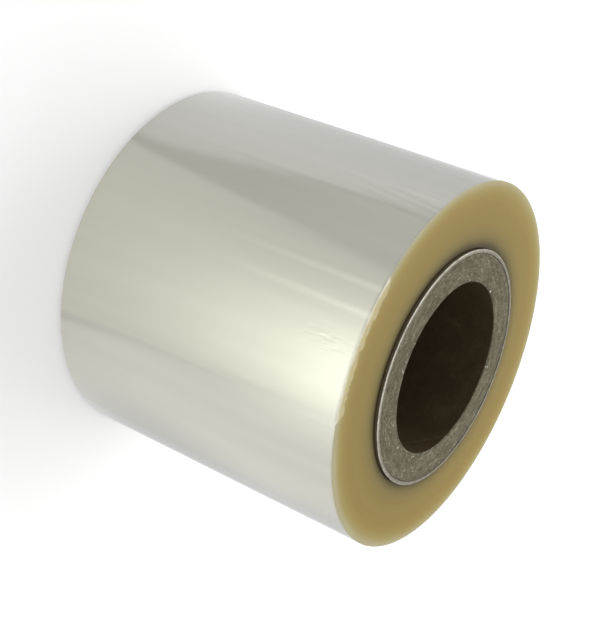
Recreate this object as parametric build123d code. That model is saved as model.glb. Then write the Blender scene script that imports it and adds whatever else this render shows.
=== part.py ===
from build123d import *
import math
import os

# Roll of clear sealing film for food trays, wound on a spiral-wound paper tube.
# It stands on its end: +Z runs up along the tube's bore, and the origin is the
# centre of the lower end. All sizes are in millimetres.

# Paper tube that the film is wound on
bore_diameter = 76.2  # the three-inch bore that goes on a machine's mandrel
tube_wall = 14.2
tube_stands_out = 1.3  # the board stands this far out of the film at each end
bore_bevel = 0.4  # where the saw has broken the bore's sharp edge

# Outermost ply of the tube: a smooth liner whose cut edge stands a little proud
liner_thickness = 1.5
liner_stands_proud = 0.3
liner_bevel = 0.3
liner_gap = 0.4  # the split between the liner and the board behind it
liner_gap_depth = 0.9

# Butt seam of the innermost ply, a shallow helical groove along the bore
wind_angle = 29.0  # degrees from square to the tube, at which its strips are wound
seam_width = 0.6
seam_depth = 0.35

# Wound film
film_width = 143.0
wound_thickness = 28.7  # all the turns together, from the tube to the outside
shoulder_width = 1.2  # the edges of the last turns are pressed in by handling
shoulder_drop = 0.3
free_end = 9.0  # the last stretch of the web springs straight off the roll

# The web wanders a little as it is wound, so the end faces have faint rings. Both
# ends of a ring shift the same way, because the web keeps its width.
wander = 0.16
ring_edge_shares = (0.14, 0.31, 0.47, 0.66, 0.80)  # of the wound thickness
ring_shift_shares = (0.0, 0.8, 0.3, 1.0, 0.45, 0.7)  # of the wander

overrun = 2.0  # how far cutting shapes run past what they cut

bore_radius = bore_diameter / 2
tube_radius = bore_radius + tube_wall
roll_radius = tube_radius + wound_thickness

tube_length = film_width + 2 * (tube_stands_out + liner_stands_proud)
board_bottom = liner_stands_proud
board_top = tube_length - liner_stands_proud
film_bottom = board_bottom + tube_stands_out
film_top = film_bottom + film_width


def tube_end(end, inward):
    """Half of the tube's section at one end, from the bore outwards.

    end is the height of the board's cut face, and inward is +1 or -1, the way
    along Z that leads into the tube.
    """
    liner_inside = tube_radius - liner_thickness
    gap_bottom = liner_inside - liner_gap / 2
    liner_end = end - inward * liner_stands_proud
    return [
        (bore_radius, end + inward * bore_bevel),
        (bore_radius + bore_bevel, end),
        (liner_inside - liner_gap, end),
        (gap_bottom, end + inward * liner_gap_depth),
        (liner_inside, end),
        (liner_inside, liner_end),
        (tube_radius - liner_bevel, liner_end),
        (tube_radius, liner_end + inward * liner_bevel),
    ]


def inner_seam():
    """The helical gap between the edges of the innermost ply, as a cutting shape.

    The strip's edges meet when it climbs one strip's height in each turn, so the
    lead is the circumference times the tangent of the winding angle.
    """
    lead = math.pi * bore_diameter * math.tan(math.radians(wind_angle))
    path = Helix(
        pitch=lead,
        height=tube_length + 2 * overrun,
        radius=bore_radius,
        center=(0, 0, -overrun),
    )
    start = Plane(origin=path @ 0, x_dir=(1, 0, 0), z_dir=path % 0)
    section = start * Rectangle(2 * seam_depth, seam_width)
    return sweep(section, path=path, is_frenet=True)


def paper_tube():
    lower = tube_end(board_bottom, 1)
    upper = tube_end(board_top, -1)
    outline = Polyline(*lower, *reversed(upper), close=True)
    board = revolve(Plane.XZ * make_face(outline), Axis.Z)
    return board - inner_seam()


def web_outline():
    """The roll seen along its axis: a circle whose free end leaves it on the tangent."""
    foot_angle = math.degrees(math.atan2(free_end, roll_radius))
    turn = CenterArc((0, 0), roll_radius, foot_angle, 360 - foot_angle)
    straight = Line((roll_radius, 0), (roll_radius, free_end))
    cut_edge = Line(straight @ 1, turn @ 0)
    return Rot(0, 0, 90) * make_face([turn, straight, cut_edge])


def ring_heights():
    """The end face's steps: (radius, shift) at each side of every ring's edge."""
    shifts = [wander * share for share in ring_shift_shares]
    edges = [tube_radius + wound_thickness * share for share in ring_edge_shares]
    steps = [(tube_radius, shifts[0])]
    for edge, before, after in zip(edges, shifts, shifts[1:]):
        steps += [(edge, before), (edge, after)]
    steps.append((roll_radius - shoulder_width, shifts[-1]))
    return steps


def wound_film():
    steps = ring_heights()
    slope = shoulder_drop / shoulder_width
    rim = roll_radius + free_end
    rim_drop = slope * (rim - steps[-1][0])
    last_shift = steps[-1][1]
    top = [(radius, film_top + shift) for radius, shift in steps]
    top.append((rim, film_top + last_shift - rim_drop))
    bottom = [(radius, film_bottom + shift) for radius, shift in steps]
    bottom.append((rim, film_bottom + last_shift + rim_drop))
    section = Plane.XZ * make_face(Polyline(*top, *reversed(bottom), close=True))
    ends = revolve(section, Axis.Z)
    web = extrude(web_outline(), tube_length)
    return web & ends


os.makedirs("parts", exist_ok=True)
export_step(paper_tube(), "parts/paper_tube.step")
export_step(wound_film(), "parts/wound_film.step")
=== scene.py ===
import math

import bpy
from mathutils import Euler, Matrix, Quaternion, Vector


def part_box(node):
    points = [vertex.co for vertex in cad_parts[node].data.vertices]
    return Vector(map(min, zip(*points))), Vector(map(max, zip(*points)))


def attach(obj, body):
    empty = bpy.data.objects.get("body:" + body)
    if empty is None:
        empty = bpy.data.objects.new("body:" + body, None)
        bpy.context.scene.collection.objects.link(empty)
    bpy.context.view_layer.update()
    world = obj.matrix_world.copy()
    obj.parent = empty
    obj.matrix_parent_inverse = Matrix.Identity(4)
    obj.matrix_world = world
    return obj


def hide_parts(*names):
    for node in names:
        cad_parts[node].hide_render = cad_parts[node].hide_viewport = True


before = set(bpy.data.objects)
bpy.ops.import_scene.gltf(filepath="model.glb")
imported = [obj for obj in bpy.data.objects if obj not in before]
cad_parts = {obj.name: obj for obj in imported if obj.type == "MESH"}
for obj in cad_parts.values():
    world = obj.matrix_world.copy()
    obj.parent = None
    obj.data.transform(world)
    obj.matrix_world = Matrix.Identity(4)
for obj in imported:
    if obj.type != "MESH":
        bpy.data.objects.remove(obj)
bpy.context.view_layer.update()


# Camera. The roll stands on its end, and the camera looks down on its upper end
# from in front. It is turned on its side, so the roll seems to lie on the table.
view_distance = 0.5315
view_height = 0.2319
view_pan = math.radians(-0.505)
view_tilt = math.radians(-29.83)
view_turn = math.radians(112.52)
focal_length = 77.85
view_shift = (-0.0014, 0.0008)
film_back = 36.0
film_low, film_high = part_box("wound_film")

camera_data = bpy.data.cameras.new("camera")
camera_data.sensor_width = film_back
camera_data.lens = focal_length
camera_data.shift_x, camera_data.shift_y = view_shift
camera = bpy.data.objects.new("camera", camera_data)
bpy.context.scene.collection.objects.link(camera)
camera.location = (0, -view_distance, film_high.z + view_height)
camera.rotation_mode = "QUATERNION"
aim = Euler((math.radians(90) + view_tilt, 0, view_pan)).to_quaternion()
camera.rotation_quaternion = aim @ Quaternion((0, 0, 1), view_turn)
bpy.context.scene.camera = camera


# Wound film. Clear plastic web, about 200 m of it, wound tight into one roll. The
# smooth side looks pearl grey through its many layers, and the slit edges honey tan.
# Handling has pushed in the edges of the last turns and broken chips out along the rim.
millimetre = 0.001
roll_radius = 81.0 * millimetre
tube_radius = 52.3 * millimetre
layer = 0.1 * millimetre
seam_tolerance = 0.02 * millimetre
shoulder_width = 1.2 * millimetre
shoulder_drop = 0.3 * millimetre
wander = 0.16 * millimetre
ring_edge_shares = (0.14, 0.31, 0.47, 0.66, 0.80)
ring_shift_shares = (0.0, 0.8, 0.3, 1.0, 0.45, 0.7)
body_radius = roll_radius - layer
wound_thickness = body_radius - tube_radius

# Marks on the roll. Angles run from the front, which is -Y, towards +X. A crease is an
# angle, a width and how far down it fades, as a share of the film's width. A painted
# streak is an angle, a width, its reach from the rim and how much lighter it is: painted
# highlight down the side, and painted shade where it is below 0.
creases = ((-0.66, 0.018, 1.6), (-0.22, 0.016, 0.7), (-0.09, 0.013, 0.7), (0.47, 0.012, 1.3))
wrinkle_angle = 0.09
wrinkle_spread = 0.045
wrinkle_depth = 14 * millimetre
wrinkle_reach = 9 * millimetre
chipped_lit_start = (-0.32, -0.22)
chipped_lit_end = (0.41, 0.46)
chip_count = 9.0
chips_elsewhere = 0.04
rim_glow_width = 4.7 * millimetre
painted_streak_lines = (
    (-0.22, 0.016, 90 * millimetre, 0.17),
    (-0.09, 0.016, 90 * millimetre, 0.18),
    (-0.66, 0.012, 160 * millimetre, -0.06),
    (-0.80, 0.010, 60 * millimetre, 0.07),
    (0.72, 0.03, 120 * millimetre, 0.04),
)
# A rippled patch on the left near the rim, which exists only as painted shade: light and dark stripes in the
# side's colour in place of its glint.
ripple_angle = -0.74
ripple_spread = 0.09
ripple_reach = 60 * millimetre
rim_shade_reach = 2.0 * millimetre


def add(tree, kind, inputs=(), **settings):
    """Adds one node. inputs gives its sockets, by name or number, a value or a link."""
    made = tree.nodes.new(kind)
    for key, value in settings.items():
        setattr(made, key, value)
    for key, value in dict(inputs).items():
        if isinstance(value, bpy.types.NodeSocket):
            tree.links.new(value, made.inputs[key])
        else:
            made.inputs[key].default_value = value
    return made


def maths(tree, operation, *values):
    return add(tree, "ShaderNodeMath", dict(enumerate(values)), operation=operation).outputs[0]


def bell(tree, value, middle, width):
    """1 where value is at the middle, falling away to 0 over about the width."""
    offset = maths(tree, "DIVIDE", maths(tree, "SUBTRACT", value, middle), width)
    square = maths(tree, "MULTIPLY", offset, offset)
    return maths(tree, "EXPONENT", maths(tree, "MULTIPLY", square, -1.0))


def ramp(tree, value, low, high, start=0.0, end=1.0):
    """start below low and end above high, with a smooth change between them."""
    inputs = {"Value": value, "From Min": low, "From Max": high, "To Min": start, "To Max": end}
    return add(tree, "ShaderNodeMapRange", inputs, interpolation_type="SMOOTHSTEP").outputs["Result"]


def product(tree, *values):
    result = values[0]
    for value in values[1:]:
        result = maths(tree, "MULTIPLY", result, value)
    return result


def total(tree, *values):
    result = values[0]
    for value in values[1:]:
        result = maths(tree, "ADD", result, value)
    return result


def stretched(tree, place, along):
    """The place with its height scaled, which draws a pattern out along the roll."""
    scaled = {0: place, 1: (1.0, 1.0, along)}
    return add(tree, "ShaderNodeVectorMath", scaled, operation="MULTIPLY").outputs[0]


def outwards(tree, angle):
    return add(
        tree,
        "ShaderNodeCombineXYZ",
        {0: maths(tree, "SINE", angle), 1: maths(tree, "COSINE", angle)},
    ).outputs[0]


def named_inputs(tree, sockets):
    """Gives a tree its geometry in and out, and its named inputs."""
    kinds = {float: "NodeSocketFloat", int: "NodeSocketInt"}
    tree.interface.new_socket("Geometry", in_out="INPUT", socket_type="NodeSocketGeometry")
    tree.interface.new_socket("Geometry", in_out="OUTPUT", socket_type="NodeSocketGeometry")
    for name, value in sockets.items():
        socket = tree.interface.new_socket(name, in_out="INPUT", socket_type=kinds[type(value)])
        socket.default_value = value
    return tree.nodes.new("NodeGroupInput").outputs


def turned_grid(tree, given):
    """A grid that wraps once round the axis: its columns are angles, its rows the outline.

    Gives the grid, the angle from the front towards +X, the point of the outline that
    each row takes, and a function that reads an outline's attribute for each row.
    """
    rows = add(tree, "GeometryNodeAttributeDomainSize", {0: given["Geometry"]}, component="MESH")
    columns = maths(tree, "ADD", given["Segments"], 1.0)
    sizes = {"Size X": 1.0, "Size Y": 1.0, "Vertices X": columns, "Vertices Y": rows.outputs["Point Count"]}
    grid = add(tree, "GeometryNodeMeshGrid", sizes).outputs["Mesh"]
    place = add(tree, "ShaderNodeSeparateXYZ", {0: tree.nodes.new("GeometryNodeInputPosition").outputs[0]})
    last_row = maths(tree, "SUBTRACT", rows.outputs["Point Count"], 1.0)
    row = maths(tree, "ROUND", maths(tree, "MULTIPLY", maths(tree, "ADD", place.outputs["Y"], 0.5), last_row))
    angle = maths(tree, "MULTIPLY", place.outputs["X"], math.tau)

    def outline(field, kind):
        source = {"Geometry": given["Geometry"], "Value": field, "Index": row}
        return add(tree, "GeometryNodeSampleIndex", source, data_type=kind, domain="POINT").outputs["Value"]

    def outline_attribute(name):
        field = add(tree, "GeometryNodeInputNamedAttribute", {"Name": name}, data_type="FLOAT")
        return outline(field.outputs["Attribute"], "FLOAT")

    spot = outline(tree.nodes.new("GeometryNodeInputPosition").outputs[0], "FLOAT_VECTOR")
    spot = add(tree, "ShaderNodeSeparateXYZ", {0: spot}).outputs
    return grid, angle, spot["X"], spot["Z"], outline_attribute


def noise(tree, vector, scale, seed=None, detail=2.0, roughness=0.5, distortion=0.0):
    """Noise from -1 to 1, about."""
    inputs = {"Vector": vector, "Scale": scale, "Detail": detail, "Roughness": roughness}
    inputs["Distortion"] = distortion
    settings = {"noise_dimensions": "3D"}
    if seed is not None:
        settings = {"noise_dimensions": "4D"}
        inputs["W"] = seed
    made = add(tree, "ShaderNodeTexNoise", inputs, **settings)
    return maths(tree, "MULTIPLY", maths(tree, "SUBTRACT", made.outputs[0], 0.5), 2.0)


def round_the_axis(tree, radius, angle, height):
    """The place at an angle from the front, which is -Y, towards +X."""
    x = maths(tree, "MULTIPLY", radius, maths(tree, "SINE", angle))
    y = product(tree, radius, maths(tree, "COSINE", angle), -1.0)
    return add(tree, "ShaderNodeCombineXYZ", {0: x, 1: y, 2: height}).outputs[0]


def finish_tree(tree, grid, place, wall, wall_material, end_material):
    """Moves the grid to its place, closes its seams and gives its faces their materials."""
    kept = {"Geometry": grid, "Name": "wall", "Value": wall}
    shape = add(tree, "GeometryNodeStoreNamedAttribute", kept, data_type="FLOAT", domain="POINT")
    shape = add(tree, "GeometryNodeSetPosition", {"Geometry": shape.outputs[0], "Position": place})
    welded = {"Geometry": shape.outputs[0], "Distance": seam_tolerance}
    shape = add(tree, "GeometryNodeMergeByDistance", welded)
    shape = add(tree, "GeometryNodeSetShadeSmooth", {"Geometry": shape.outputs[0]})
    shape = add(tree, "GeometryNodeRealizeInstances", {"Geometry": shape.outputs[0]})
    shape = add(tree, "GeometryNodeSetMaterial", {"Geometry": shape.outputs[0], "Material": end_material})
    on_wall = add(tree, "GeometryNodeInputNamedAttribute", {"Name": "wall"}, data_type="FLOAT")
    chosen = maths(tree, "GREATER_THAN", on_wall.outputs["Attribute"], 0.9)
    wall_faces = {"Geometry": shape.outputs[0], "Selection": chosen, "Material": wall_material}
    shape = add(tree, "GeometryNodeSetMaterial", wall_faces)
    add(tree, "NodeGroupOutput", {0: shape.outputs[0]})


def outline_mesh(name, points, attributes):
    """A chain of edges in the XZ plane. attributes gives each name one value a point."""
    mesh = bpy.data.meshes.new(name)
    mesh.from_pydata(points, [(i, i + 1) for i in range(len(points) - 1)], [])
    for key, values in attributes.items():
        mesh.attributes.new(key, "FLOAT", "POINT").data.foreach_set("value", values)
    return mesh


def made_by(tree, name, mesh, sizes, sharp=math.radians(30)):
    """Runs a tree on a mesh and keeps its result as a plain mesh."""
    piece = bpy.data.objects.new(name, mesh)
    bpy.context.scene.collection.objects.link(piece)
    modifier = piece.modifiers.new(name, "NODES")
    modifier.node_group = tree
    for item in tree.interface.items_tree:
        if item.name in sizes:
            modifier[item.identifier] = sizes[item.name]
    plain = bpy.data.meshes.new_from_object(piece.evaluated_get(bpy.context.evaluated_depsgraph_get()))
    piece.modifiers.clear()
    piece.data = plain
    plain.set_sharp_from_angle(angle=sharp)
    return piece


def run(start, end, count):
    """count points from start towards end, evenly spaced, without the end itself."""
    start, end = Vector(start), Vector(end)
    return [start.lerp(end, step / count) for step in range(count)]


def film_outline():
    """Half of the roll's section, once round, with what each point lies on."""
    low, high = film_low.z, film_high.z - ring_shift_shares[3] * wander
    step_half = 1.0 * millimetre
    points, walls, shoulders = [], [], []

    def keep(new, wall=0.0, shoulder=None):
        points.extend(new)
        walls.extend([wall] * len(new))
        shoulders.extend(shoulder or [0.0] * len(new))

    def face(height, count):
        corners = []
        edges = [tube_radius + wound_thickness * share for share in ring_edge_shares]
        for edge, before, after in zip(edges, ring_shift_shares, ring_shift_shares[1:]):
            corners += [(edge - step_half, 0, height + wander * before)]
            corners += [(edge + step_half, 0, height + wander * after)]
        ends = [(tube_radius, 0, height)] + corners
        ends += [(body_radius - shoulder_width, 0, height + wander * ring_shift_shares[-1])]
        line = []
        for start, end in zip(ends, ends[1:]):
            line += run(start, end, count)
        return line + [Vector(ends[-1])]

    last_shift = wander * ring_shift_shares[-1]
    lower = face(low, 2)
    keep(lower[:-1])
    rim_low = (body_radius, 0, low + last_shift + shoulder_drop)
    shoulder_points = run(lower[-1], rim_low, 4)
    keep(shoulder_points)
    rim_high = (body_radius, 0, high + last_shift - shoulder_drop)
    dense = (body_radius, 0, rim_high[2] - 34 * millimetre)
    wall_points = run(rim_low, dense, 24) + run(dense, rim_high, 34) + [Vector(rim_high)]
    keep(wall_points, wall=1.0)
    upper = face(high, 5)
    slope = run(rim_high, upper[-1], 6)[1:]
    reach = [(step + 1) / 6 for step in range(len(slope))]
    keep(slope, shoulder=reach)
    inner = list(reversed(upper))
    fade = [max(0.0, 1.0 - step / 3) for step in range(len(inner))]
    keep(inner, shoulder=fade)
    keep(run(inner[-1], lower[0], 6)[1:] + [lower[0].copy()])
    return outline_mesh("film_outline", points, {"wall": walls, "shoulder": shoulders})


def teeth(tree, angle, count):
    """Saw teeth round the rim, from 0 to 1, of uneven length. count is how many a radian."""
    uneven = product(tree, noise(tree, outwards(tree, angle), 6.0, detail=1.0), 1.5)
    return maths(tree, "FRACT", total(tree, maths(tree, "MULTIPLY", angle, count), uneven))


def chipped_lit_stretch(tree, angle):
    """1 on the stretch of the rim with chips, which ends more sharply on one side. The painted light and
    shade at the rim are strongest on it too.
    """
    return product(tree, ramp(tree, angle, *chipped_lit_start), ramp(tree, angle, *chipped_lit_end, 1.0, 0.0))


def film_tree(side_material, end_material, sizes):
    tree = bpy.data.node_groups.new("wound film", "GeometryNodeTree")
    given = named_inputs(tree, sizes)
    grid, angle, radius, height, attribute = turned_grid(tree, given)
    wall, shoulder = attribute("wall"), attribute("shoulder")
    plain = round_the_axis(tree, radius, angle, height)

    streaks = noise(tree, stretched(tree, plain, 0.06), 70.0, given["Seed"], detail=3.0)
    streaks = product(tree, streaks, given["Streak height"])

    crease_lines = []
    for crease_angle, crease_width, reach_share in creases:
        fade_from = film_high.z - reach_share * (film_high.z - film_low.z)
        fade = ramp(tree, height, fade_from, film_high.z)
        crease_lines.append(product(tree, bell(tree, angle, crease_angle, crease_width), fade))
    crease = product(tree, total(tree, *crease_lines), given["Crease height"])

    near_patch = bell(tree, angle, wrinkle_angle, wrinkle_spread)
    below = maths(tree, "SUBTRACT", film_high.z, height)
    near_patch = maths(tree, "MULTIPLY", near_patch, bell(tree, below, wrinkle_depth, wrinkle_reach))
    wrinkles = noise(tree, plain, 330.0, given["Seed"], detail=2.0, distortion=1.2)
    wrinkles = product(tree, wrinkles, near_patch, given["Wrinkle height"])

    saw = teeth(tree, angle, given["Chips round the rim"])
    chips = product(tree, saw, total(tree, chipped_lit_stretch(tree, angle), chips_elsewhere), shoulder)
    radius_shift = product(tree, total(tree, streaks, crease, wrinkles), wall)
    radius_shift = maths(tree, "SUBTRACT", radius_shift, product(tree, chips, given["Chip width"]))
    new_radius = maths(tree, "ADD", radius, radius_shift)

    turned = add(tree, "ShaderNodeCombineXYZ", {0: radius}).outputs[0]
    rings = noise(tree, turned, 900.0, given["Seed"], detail=3.0, roughness=0.7)
    rings = product(tree, rings, given["Ring height"], maths(tree, "SUBTRACT", 1.0, wall))
    new_height = maths(tree, "ADD", height, rings)

    place = round_the_axis(tree, new_radius, angle, new_height)
    finish_tree(tree, grid, place, wall, side_material, end_material)
    return tree


def new_material(name, **constants):
    """A material with its surface shader, whose constant inputs are set by name."""
    material = bpy.data.materials.new(name)
    material.use_nodes = True
    surface = material.node_tree.nodes["Principled BSDF"]
    for key, value in constants.items():
        surface.inputs[key.replace("_", " ").title().replace("Ior", "IOR")].default_value = value
    return material, material.node_tree, surface


def from_axis(tree):
    """The place on the object, its distance from the axis, its height and its angle."""
    place = add(tree, "ShaderNodeTexCoord").outputs["Object"]
    axes = add(tree, "ShaderNodeSeparateXYZ", {0: place}).outputs
    flat = add(tree, "ShaderNodeCombineXYZ", {0: axes["X"], 1: axes["Y"]}).outputs[0]
    radius = add(tree, "ShaderNodeVectorMath", {0: flat}, operation="LENGTH").outputs["Value"]
    angle = maths(tree, "ARCTAN2", axes["X"], maths(tree, "MULTIPLY", axes["Y"], -1.0))
    return place, radius, axes["Z"], angle


def colour_steps(tree, value, steps):
    """A colour ramp. steps holds (position, (red, green, blue)) pairs."""
    made = add(tree, "ShaderNodeValToRGB", {0: value})
    elements = made.color_ramp.elements
    while len(elements) < len(steps):
        elements.new(1.0)
    for element, (position, colour) in zip(elements, steps):
        element.position = position
        element.color = (*colour, 1.0)
    return made.outputs["Color"]


def blend(tree, share, colour, other):
    """colour where share is 0 and other where it is 1."""
    inputs = {"Factor": share, 6: colour, 7: other}
    return add(tree, "ShaderNodeMix", inputs, data_type="RGBA").outputs[2]


def relief(tree, surface, heights, strength, depth):
    """Gives a surface its fine relief as a bump."""
    bump = add(tree, "ShaderNodeBump", {"Height": heights, "Strength": strength, "Distance": depth})
    tree.links.new(bump.outputs[0], surface.inputs["Normal"])


def film_side_material():
    """Clear glossy film over many layers of itself: pearl grey, with streaks along the axis. Its colour also
    holds painted highlight and shade streaks from the rim, painted ripple shade on the left and painted shade
    along the upper rim.
    """
    material, tree, surface = new_material("film side", metallic=0.5, coat_weight=0.5, coat_roughness=0.05)
    place, _, height, angle = from_axis(tree)
    below = maths(tree, "SUBTRACT", film_high.z, height)
    drawn_out = stretched(tree, place, 0.04)
    streaks = noise(tree, drawn_out, 160.0, detail=5.0, roughness=0.6)
    shade = total(tree, product(tree, streaks, 0.22), 0.5)
    colour = colour_steps(tree, shade, ((0.0, (0.58, 0.58, 0.51)), (1.0, (0.74, 0.735, 0.665))))

    # Painted highlight and shade: streaks running down from the rim at given angles.
    painted_streaks = []
    for streak_angle, streak_width, reach, strength in painted_streak_lines:
        fade = ramp(tree, below, 0.0, reach, strength, 0.0)
        painted_streaks.append(product(tree, bell(tree, angle, streak_angle, streak_width), fade))
    # Painted ripple shade: slanting light and dark stripes on the left, fading down from the rim.
    leaning = total(tree, product(tree, angle, 120.0), product(tree, below, 220.0))
    leaning = total(tree, leaning, product(tree, streaks, 3.0))
    painted_ripple_shade = product(
        tree,
        maths(tree, "SINE", leaning),
        bell(tree, angle, ripple_angle, ripple_spread),
        ramp(tree, below, 0.0, ripple_reach, 0.05, 0.0),
    )
    # Painted shade: a darker band along the upper rim, darkest on the stretch with chips.
    painted_rim_shade = ramp(tree, below, 0.0, rim_shade_reach, -0.22, 0.0)
    painted_rim_shade = product(tree, painted_rim_shade, total(tree, chipped_lit_stretch(tree, angle), 0.35))
    lighter = {0: colour, "Scale": total(tree, *painted_streaks, painted_ripple_shade, painted_rim_shade, 1.0)}
    colour = add(tree, "ShaderNodeVectorMath", lighter, operation="SCALE").outputs["Vector"]
    tree.links.new(colour, surface.inputs["Base Color"])
    rough = total(tree, product(tree, streaks, 0.04), 0.15)
    tree.links.new(rough, surface.inputs["Roughness"])

    fine = noise(tree, drawn_out, 700.0, detail=2.0)
    squiggles = noise(tree, stretched(tree, place, 0.22), 500.0, detail=1.0, distortion=1.0)
    in_patch = bell(tree, angle, wrinkle_angle, wrinkle_spread)
    in_patch = product(tree, in_patch, bell(tree, below, wrinkle_depth, wrinkle_reach))
    uneven = total(tree, product(tree, fine, 0.1), product(tree, squiggles, in_patch, 2.2))
    relief(tree, surface, uneven, 0.3, 0.2 * millimetre)
    return material


def film_end_material():
    """The slit edges of all the turns: a waxy honey tan, with painted shade that darkens it by the tube and
    painted light that pales it at the rim, most on the stretch with chips.
    """
    material, tree, surface = new_material(
        "film end",
        specular_ior_level=0.12,
        roughness=0.5,
        subsurface_weight=0.2,
        subsurface_radius=(1.0, 0.75, 0.3),
        subsurface_scale=2 * millimetre,
    )
    place, radius, _, angle = from_axis(tree)
    across = {"Value": radius, "From Min": tube_radius, "From Max": roll_radius}
    across = add(tree, "ShaderNodeMapRange", across).outputs[0]
    # Painted shade darkens the first tones next to the tube, and painted light pales the last ones towards
    # the rim.
    tones = (
        (0.00, (0.045, 0.034, 0.011)),
        (0.05, (0.070, 0.053, 0.016)),
        (0.10, (0.125, 0.096, 0.030)),
        (0.16, (0.182, 0.138, 0.042)),
        (0.27, (0.222, 0.164, 0.0455)),
        (0.40, (0.250, 0.179, 0.0465)),
        (0.62, (0.264, 0.186, 0.0475)),
        (0.78, (0.288, 0.210, 0.057)),
        (0.88, (0.322, 0.256, 0.087)),
        (0.94, (0.360, 0.310, 0.155)),
        (1.00, (0.430, 0.395, 0.250)),
    )
    mottle = noise(tree, place, 60.0, detail=4.0)
    # Painted light: the face is a little paler on the side towards +X.
    painted_light_side = product(tree, bell(tree, angle, 1.1, 0.8), 0.03)
    shifted = total(tree, across, product(tree, mottle, 0.03), painted_light_side)
    honey = colour_steps(tree, shifted, tones)
    flecks = noise(tree, place, 300.0, detail=3.0)
    # Painted light: a pale band along the outer rim, as if light glowed through the film's edges, widest on
    # the stretch with chips and ragged on its inner side.
    zone = chipped_lit_stretch(tree, angle)
    saw = teeth(tree, angle, chip_count)
    torn = noise(tree, outwards(tree, angle), 14.0, detail=3.0, roughness=0.6)
    reach = maths(tree, "MINIMUM", total(tree, product(tree, saw, 0.22), product(tree, torn, 0.6), 0.74), 1.0)
    band = product(tree, zone, reach, rim_glow_width)
    depth = total(tree, radius, band, product(tree, flecks, 0.4 * millimetre), -roll_radius)
    near_rim = ramp(tree, radius, roll_radius - 2.2 * millimetre, roll_radius, 0.0, 0.8)
    paleness = total(tree, near_rim, product(tree, flecks, 0.4))
    rim_glow_colour = colour_steps(tree, paleness, ((0.1, (0.47, 0.40, 0.21)), (0.8, (0.71, 0.67, 0.52))))
    on_rim_glow = ramp(tree, depth, -0.4 * millimetre, 0.5 * millimetre)
    on_rim_glow = product(tree, on_rim_glow, ramp(tree, zone, 0.0, 0.4, 0.3, 1.0))
    tree.links.new(blend(tree, on_rim_glow, honey, rim_glow_colour), surface.inputs["Base Color"])
    turned = add(tree, "ShaderNodeCombineXYZ", {0: radius}).outputs[0]
    rings = noise(tree, turned, 4000.0, detail=2.0)
    relief(tree, surface, rings, 0.05, 0.2 * millimetre)
    return material


film_side = film_side_material()
film_end = film_end_material()
film_sizes = {
    "Segments": 600,
    "Streak height": 0.02 * millimetre,
    "Crease height": 0.05 * millimetre,
    "Wrinkle height": 0.03 * millimetre,
    "Chips round the rim": chip_count,
    "Chip width": 0.3 * millimetre,
    "Ring height": 0.02 * millimetre,
    "Seed": 4.0,
}
film = made_by(film_tree(film_side, film_end, film_sizes), "film_roll", film_outline(), film_sizes)
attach(film, "root")
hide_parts("wound_film")


# Free end of the film. One layer of the clear web, 0.06 mm thick, which springs
# off the roll at the back. It was cut straight across when the roll was made.
free_length = 9.0 * millimetre
free_start = 0.9  # radians of the roll that the strip hugs before it leaves
lap_rise = 0.5  # radians in which it comes out from under the last turn
flutter = 0.25 * millimetre
web_thickness = 0.6 * layer


def free_end_mesh():
    """A thin strip that hugs the roll, rises out of it and runs straight on to its cut edge."""
    hugging, straight, rows = 48, 16, 64
    low, high = film_low.z + wander + shoulder_drop, film_high.z - wander - shoulder_drop
    path = []
    for step in range(hugging + 1):
        angle = math.pi - free_start * (1 - step / hugging)
        rise = min(1.0, step / hugging * free_start / lap_rise)
        radius = body_radius - layer + 2 * layer * rise
        path.append((radius * math.sin(angle), -radius * math.cos(angle), 0.0))
    for step in range(1, straight + 1):
        path.append((-free_length * step / straight, roll_radius, step / straight))
    points, faces = [], []
    for side in (0, 1):
        for row in range(rows + 1):
            share = row / rows
            wave = 0.5 + 0.5 * math.sin(share * 17) * math.sin(share * 5 + 1)
            for x, y, loose in path:
                inward = side * web_thickness + flutter * wave * loose**2
                points.append((x, y - inward, low + (high - low) * share))
    across = len(path)
    back = across * (rows + 1)
    for row in range(rows):
        for column in range(across - 1):
            a, b = row * across + column, (row + 1) * across + column
            faces.append((a, a + 1, b + 1, b))
            faces.append((back + a, back + b, back + b + 1, back + a + 1))
    rim = list(range(across))
    rim += [row * across + across - 1 for row in range(1, rows + 1)]
    rim += [rows * across + column for column in range(across - 2, -1, -1)]
    rim += [row * across for row in range(rows - 1, 0, -1)]
    for here, there in zip(rim, rim[1:] + rim[:1]):
        faces.append((here, back + here, back + there, there))
    mesh = bpy.data.meshes.new("film_free_end")
    mesh.from_pydata(points, [], faces)
    mesh.materials.append(film_side)
    mesh.shade_smooth()
    mesh.set_sharp_from_angle(angle=math.radians(30))
    return mesh


free_end = bpy.data.objects.new("film_free_end", free_end_mesh())
bpy.context.scene.collection.objects.link(free_end)
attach(free_end, "root")


# Paper tube. Strips of grey-brown recycled board wound on the slant and glued, with a
# smooth lighter ply outside. It is sawn off at both ends, where its plies show.
tube_low, tube_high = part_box("paper_tube")
bore_radius = 38.1 * millimetre
bore_bevel = 0.4 * millimetre
liner_thickness = 1.5 * millimetre
liner_proud = 0.3 * millimetre
liner_bevel = 0.3 * millimetre
liner_gap = 0.4 * millimetre
liner_gap_depth = 0.4 * millimetre  # fibres fill the lower half of the split
seam_width = 0.6 * millimetre
seam_depth = 0.35 * millimetre
wind_angle = math.radians(29)
seam_lead = math.tau * bore_radius * math.tan(wind_angle)
seam_angle = 2.4
gathering = 0.8  # how closely the columns of the mesh gather along the seam


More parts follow.
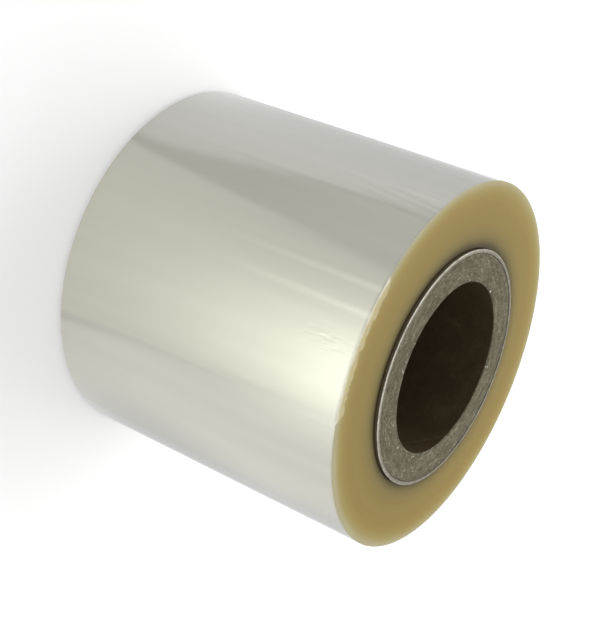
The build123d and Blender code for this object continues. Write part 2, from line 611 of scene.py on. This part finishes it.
def tube_outline():
    """Half of the tube's section, once round, with what each point lies on."""
    low, high = tube_low.z, tube_high.z
    liner_inside = tube_radius - liner_thickness
    points, walls, bores, liners, boards = [], [], [], [], []

    def keep(new, wall=0.0, bore=0.0, liner=0.0, board=0.0):
        points.extend(Vector(point) for point in new)
        for values, value in zip((walls, bores, liners, boards), (wall, bore, liner, board)):
            values.extend([value] * len(new))

    def end_face(end, inward, count):
        """From the bore's bevel out to the liner's outer edge."""
        board_end = end + inward * liner_proud
        bevel = (bore_radius + bore_bevel, 0, board_end)
        board = run(bevel, (liner_inside - liner_gap, 0, board_end), count)
        gap = [
            (liner_inside - liner_gap, 0, board_end),
            (liner_inside - liner_gap / 2, 0, board_end + inward * liner_gap_depth),
            (liner_inside, 0, board_end),
        ]
        liner = run((liner_inside, 0, end), (tube_radius - liner_bevel, 0, end), 4)
        liner += [Vector((tube_radius - liner_bevel, 0, end))]
        return board, gap, liner

    board, gap, liner = end_face(low, 1, 12)
    keep(board, board=1.0)
    keep(gap)
    keep(liner, liner=1.0)
    outer_low = (tube_radius, 0, low + liner_bevel)
    outer_high = (tube_radius, 0, high - liner_bevel)
    keep(run(outer_low, outer_high, 24) + [outer_high], wall=1.0)
    board, gap, liner = end_face(high, -1, 26)
    keep(list(reversed(liner)), liner=1.0)
    keep(list(reversed(gap)))
    keep(list(reversed(board)), board=1.0)
    bore_high = (bore_radius, 0, high - liner_proud - bore_bevel)
    bore_low = (bore_radius, 0, low + liner_proud + bore_bevel)
    keep(run(bore_high, bore_low, 40) + [bore_low], wall=1.0, bore=1.0)
    keep([points[0].copy()])
    attributes = {"wall": walls, "bore": bores, "liner": liners, "board": boards}
    return outline_mesh("tube_outline", points, attributes)


def tube_tree(wall_material, end_material, sizes):
    tree = bpy.data.node_groups.new("paper tube", "GeometryNodeTree")
    given = named_inputs(tree, sizes)
    grid, angle, radius, height, attribute = turned_grid(tree, given)
    wall, bore, liner, board = (attribute(name) for name in ("wall", "bore", "liner", "board"))

    gathered = maths(tree, "SUBTRACT", angle, product(tree, maths(tree, "SINE", angle), gathering))
    climb = product(tree, maths(tree, "SUBTRACT", height, tube_high.z), math.tau)
    slant = maths(tree, "DIVIDE", climb, given["Seam lead"])
    turned_angle = total(tree, gathered, slant, seam_angle)
    plain = round_the_axis(tree, radius, turned_angle, height)

    arc = product(tree, gathered, bore_radius)
    half_width = maths(tree, "MULTIPLY", given["Seam width"], 0.5)
    groove = bell(tree, arc, 0.0, half_width)
    dented = product(tree, noise(tree, plain, 90.0, given["Seed"], detail=3.0), given["Wall waviness"])
    radius_shift = product(tree, total(tree, product(tree, groove, given["Seam depth"]), dented), bore)

    turned = add(tree, "ShaderNodeCombineXYZ", {0: radius}).outputs[0]
    plies = product(tree, noise(tree, turned, 1500.0, given["Seed"], detail=2.0), given["Ply height"])
    saw = product(tree, noise(tree, plain, 400.0, given["Seed"], detail=4.0), given["Saw roughness"])
    inward = ramp(tree, height, tube_low.z, tube_high.z, 1.0, -1.0)
    ragged = maths(tree, "ABSOLUTE", noise(tree, plain, 160.0, given["Seed"], detail=3.0))
    ragged = product(tree, ragged, given["Lip raggedness"], liner, inward)
    height_shift = total(tree, product(tree, total(tree, plies, saw), board), ragged)

    place = round_the_axis(
        tree,
        maths(tree, "ADD", radius, radius_shift),
        turned_angle,
        maths(tree, "ADD", height, height_shift),
    )
    finish_tree(tree, grid, place, wall, wall_material, end_material)
    return tree


def sawn_board_material():
    """Cut recycled board: grey-brown, with fibres, pale specks and faint ply lines, and a painted highlight
    along the outer ply's lip at the front.
    """
    material, tree, surface = new_material("sawn board", roughness=0.85, specular_ior_level=0.2)
    place, radius, height, angle = from_axis(tree)
    turned = add(tree, "ShaderNodeCombineXYZ", {0: radius}).outputs[0]
    plies = noise(tree, turned, 1500.0, detail=2.0)
    along_arc = product(tree, angle, bore_radius, 0.4)
    wrapped = add(tree, "ShaderNodeCombineXYZ", {0: radius, 1: along_arc, 2: height}).outputs[0]
    fibres = noise(tree, wrapped, 1300.0, detail=5.0, roughness=0.75, distortion=1.2)
    blotches = noise(tree, wrapped, 330.0, detail=4.0, roughness=0.65, distortion=0.8)
    shade = total(tree, product(tree, plies, 0.25), product(tree, fibres, 1.1))
    shade = total(tree, shade, product(tree, blotches, 0.45), 0.5)
    board = colour_steps(tree, shade, (
        (0.0, (0.060, 0.050, 0.031)),
        (0.4, (0.116, 0.101, 0.064)),
        (0.7, (0.200, 0.179, 0.124)),
        (1.0, (0.39, 0.365, 0.285)),
    ))
    specks = ramp(tree, noise(tree, place, 600.0, detail=1.0), 0.44, 0.58)
    near_bore = bell(tree, radius, bore_radius + 1.2 * millimetre, 2 * millimetre)
    specks = product(tree, specks, total(tree, near_bore, 0.3))
    board = blend(tree, specks, board, (0.85, 0.83, 0.75, 1.0))
    liner = colour_steps(tree, shade, (
        (0.0, (0.155, 0.135, 0.10)),
        (0.5, (0.265, 0.243, 0.19)),
        (1.0, (0.43, 0.40, 0.335)),
    ))
    on_liner = ramp(tree, radius, tube_radius - liner_thickness - liner_gap, tube_radius - liner_thickness)
    board = blend(tree, on_liner, board, liner)
    # Painted highlight: a bright, broken line along the lip of the outer ply, strongest at the front.
    edge = colour_steps(tree, shade, ((0.0, (0.45, 0.42, 0.33)), (0.4, (0.97, 0.94, 0.82))))
    lip = ramp(tree, radius, tube_radius - liner_bevel * 2.3, tube_radius - liner_bevel * 1.4)
    highlight_breaks = ramp(tree, noise(tree, place, 260.0, detail=3.0), -0.4, 0.15, 0.4, 1.0)
    painted_lip_highlight = product(tree, lip, total(tree, bell(tree, angle, -0.1, 1.1), 0.1), highlight_breaks)
    tree.links.new(blend(tree, painted_lip_highlight, board, edge), surface.inputs["Base Color"])
    relief(tree, surface, fibres, 0.8, 0.4 * millimetre)
    return material


def kraft_wall_material():
    """The smooth faces of the plies in the bore and outside the tube: dark mottled kraft paper, painted
    darker still in the bore for the shade that falls there.
    """
    material, tree, surface = new_material("kraft wall", roughness=0.7, specular_ior_level=0.3)
    place, radius, *_ = from_axis(tree)
    blotches = noise(tree, place, 130.0, detail=5.0, roughness=0.6)
    fibres = noise(tree, place, 1200.0, detail=4.0, roughness=0.7, distortion=1.0)
    shade = total(tree, product(tree, blotches, 0.4), product(tree, fibres, 0.5), 0.5)
    # Painted shade: the bore is given a colour darker than its kraft, for the shade that falls in the tube.
    shaded_bore = colour_steps(tree, shade, (
        (0.15, (0.05, 0.034, 0.013)),
        (0.6, (0.088, 0.060, 0.024)),
        (1.0, (0.17, 0.13, 0.07)),
    ))
    outside = colour_steps(tree, shade, ((0.1, (0.13, 0.105, 0.06)), (0.9, (0.25, 0.21, 0.13))))
    on_outside = ramp(tree, radius, bore_radius + liner_thickness, tube_radius - liner_thickness)
    tree.links.new(blend(tree, on_outside, shaded_bore, outside), surface.inputs["Base Color"])
    relief(tree, surface, fibres, 0.25, 0.2 * millimetre)
    return material


kraft_wall = kraft_wall_material()
sawn_board = sawn_board_material()
tube_sizes = {
    "Segments": 480,
    "Seam lead": seam_lead,
    "Seam width": seam_width,
    "Seam depth": seam_depth,
    "Wall waviness": 0.08 * millimetre,
    "Ply height": 0.06 * millimetre,
    "Saw roughness": 0.12 * millimetre,
    "Lip raggedness": 0.35 * millimetre,
    "Seed": 7.0,
}
tube = made_by(tube_tree(kraft_wall, sawn_board, tube_sizes), "film_tube", tube_outline(), tube_sizes)
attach(tube, "root")
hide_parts("paper_tube")


# Studio. A plain pale floor under a soft white sky, with one large lamp behind the
# roll. A sheet just above the floor holds the room that the glossy side reflects:
# reflections alone see it, and it lights nothing else.
floor_half, sheet_half = 3.0, 1.2
sheet_height = 0.4 * millimetre
sheet_middle = (-0.008, -0.029)
side_level, screen_level, left_level, right_level = 0.72, 0.74, 0.92, 1.17
window_level, glow_level, blob_level, spill_level, behind_level = 0.975, 1.62, 0.16, 0.7, 0.6
rib_level = -0.2


def flat_shape(name, corners, material):
    """A flat many-sided panel, kept out of the part."""
    mesh = bpy.data.meshes.new(name)
    mesh.from_pydata(corners, [], [tuple(range(len(corners)))])
    mesh.materials.append(material)
    panel = bpy.data.objects.new(name, mesh)
    bpy.context.scene.collection.objects.link(panel)
    return panel


def empty_material(name):
    material = bpy.data.materials.new(name)
    material.use_nodes = True
    material.node_tree.nodes.clear()
    return material, material.node_tree


def floor_finish():
    material, tree = empty_material("pale floor")
    paths = add(tree, "ShaderNodeLightPath").outputs
    seen = maths(tree, "MAXIMUM", paths["Is Camera Ray"], paths["Is Glossy Ray"])
    seen = maths(tree, "MAXIMUM", seen, paths["Is Transmission Ray"])
    place = add(tree, "ShaderNodeTexCoord").outputs["Object"]
    distance = add(tree, "ShaderNodeVectorMath", {0: place}, operation="LENGTH").outputs["Value"]
    pale = add(tree, "ShaderNodeBsdfDiffuse", {"Color": (0.5, 0.5, 0.5, 1.0)})
    level = ramp(tree, distance, 0.3, 1.6, 0.55, 0.98)
    glow = add(tree, "ShaderNodeEmission", {"Strength": product(tree, seen, level)})
    both = add(tree, "ShaderNodeAddShader", {0: pale.outputs[0], 1: glow.outputs[0]})
    add(tree, "ShaderNodeOutputMaterial", {"Surface": both.outputs[0]})
    return material


def sheet_finish():
    """The studio's front as the gloss shows it: a pale window between darker screens."""
    material, tree = empty_material("reflected studio")
    place = add(tree, "ShaderNodeTexCoord").outputs["Object"]
    away = add(tree, "ShaderNodeVectorMath", {0: place, 1: (*sheet_middle, 0.0)}, operation="SUBTRACT")
    away = add(tree, "ShaderNodeSeparateXYZ", {0: away.outputs["Vector"]}).outputs
    bearing = maths(tree, "ARCTAN2", away["X"], maths(tree, "MULTIPLY", away["Y"], -1.0))
    x_square, y_square = (product(tree, away[axis], away[axis]) for axis in ("X", "Y"))
    distance = maths(tree, "SQRT", total(tree, x_square, y_square))
    far = ramp(tree, distance, 0.18, 0.34)
    log_distance = maths(tree, "LOGARITHM", distance, math.e)

    def curved(least, bend, middle):
        """A bearing that changes with the logarithm of the distance."""
        offset = maths(tree, "ADD", log_distance, middle)
        return maths(tree, "ADD", product(tree, offset, offset, bend), least)

    def side_of(edge, softness, softer_far):
        """0 on the left of an edge and 1 on its right."""
        offset = maths(tree, "SUBTRACT", bearing, edge)
        half = total(tree, product(tree, far, softer_far), softness)
        return ramp(tree, maths(tree, "DIVIDE", offset, half), -1.0, 1.0)

    screen_left = total(tree, product(tree, log_distance, -0.41), -1.935)
    window_left, window_right = curved(-0.75, 0.15, 2.1), curved(0.925, -0.09, 1.95)
    past_left, past_right = side_of(window_left, 0.05, 0.05), side_of(window_right, 0.03, 0.06)
    screen = product(tree, side_of(screen_left, 0.07, 0.05), maths(tree, "SUBTRACT", 1.0, past_left))
    window = product(tree, past_left, maths(tree, "SUBTRACT", 1.0, past_right))
    glow = product(tree, bell(tree, bearing, 0.47, 0.6), ramp(tree, distance, 0.05, 0.42, 0.04, 1.0), window)
    blob = product(tree, bell(tree, bearing, 0.4, 0.45), ramp(tree, distance, 0.265, 0.3), window)
    window_shade = ramp(tree, bearing, -0.75, -0.1, window_level - 0.085, window_level)
    screen_shade = ramp(tree, distance, 0.1, 0.32, screen_level - 0.095, screen_level)
    beside = maths(tree, "SUBTRACT", bearing, window_right)
    rib = product(tree, bell(tree, beside, 0.02, 0.035), maths(tree, "SUBTRACT", 1.0, far))
    spill = product(tree, past_right, bell(tree, beside, 0.0, 0.3), ramp(tree, distance, 0.18, 0.36))
    turned_away = total(tree, bearing, ramp(tree, distance, 0.06, 0.28, 0.6, 0.0))
    right = product(tree, past_right, ramp(tree, turned_away, 1.75, 2.5, 1.0, 0.0))
    right = product(tree, right, ramp(tree, distance, 0.06, 0.15, 0.8, 1.0))
    left = product(tree, ramp(tree, bearing, -2.3, -1.5), maths(tree, "SUBTRACT", 1.0, past_left))
    left = product(tree, left, maths(tree, "SUBTRACT", 1.0, screen))
    behind = total(tree, bell(tree, bearing, 2.95, 0.28), bell(tree, bearing, -2.75, 0.16))
    strength = total(
        tree,
        side_level,
        product(tree, screen, maths(tree, "SUBTRACT", screen_shade, side_level)),
        product(tree, left, left_level - side_level),
        product(tree, right, right_level - side_level),
        product(tree, window, maths(tree, "SUBTRACT", window_shade, side_level)),
        product(tree, glow, glow_level),
        product(tree, blob, blob_level),
        product(tree, spill, spill_level),
        product(tree, behind, behind_level),
        product(tree, rib, rib_level),
    )
    warm = total(tree, window, product(tree, right, 0.7), product(tree, screen, 0.6))
    pale = colour_steps(tree, warm, ((0.0, (0.98, 0.98, 1.0)), (1.0, (1.0, 0.99, 0.92))))
    light = add(tree, "ShaderNodeEmission", {"Color": pale, "Strength": strength})
    add(tree, "ShaderNodeOutputMaterial", {"Surface": light.outputs[0]})
    return material


def square(half, height):
    return [(x * half, y * half, height) for x, y in ((-1, -1), (1, -1), (1, 1), (-1, 1))]


flat_shape("floor", square(floor_half, 0.0), floor_finish())
sheet = flat_shape("reflected_sheet", square(sheet_half, sheet_height), sheet_finish())
for ray in ("camera", "diffuse", "transmission", "shadow", "volume_scatter"):
    setattr(sheet, "visible_" + ray, False)

world = bpy.data.worlds.new("studio")
world.use_nodes = True
world_tree = world.node_tree
world_tree.nodes.clear()
white = (1.0, 1.0, 1.0, 1.0)
paths = add(world_tree, "ShaderNodeLightPath").outputs
seen = add(world_tree, "ShaderNodeBackground", {"Color": white, "Strength": 1.0}).outputs[0]
dim = add(world_tree, "ShaderNodeBackground", {"Color": white, "Strength": 0.5}).outputs[0]
chosen = add(world_tree, "ShaderNodeMixShader", {0: paths["Is Camera Ray"], 1: dim, 2: seen})
add(world_tree, "ShaderNodeOutputWorld", {"Surface": chosen.outputs[0]})
bpy.context.scene.world = world
bpy.context.scene.view_settings.view_transform = "Standard"


def softbox(name, place, target, size, radiance):
    """A rectangular lamp that looks at a target. radiance is how bright its face looks."""
    lamp_data = bpy.data.lights.new(name, "AREA")
    lamp_data.shape = "RECTANGLE"
    lamp_data.size, lamp_data.size_y = size
    lamp_data.energy = radiance * math.pi * size[0] * size[1]
    lamp = bpy.data.objects.new(name, lamp_data)
    lamp.location = place
    lamp.rotation_euler = (Vector(target) - Vector(place)).to_track_quat("-Z", "Y").to_euler()
    lamp.visible_camera = False
    bpy.context.scene.collection.objects.link(lamp)
    return lamp


roll_middle = (0, 0, 0.07)
softbox("back lamp", (-0.25, 0.75, 1.4), roll_middle, (1.2, 1.2), 4.6)
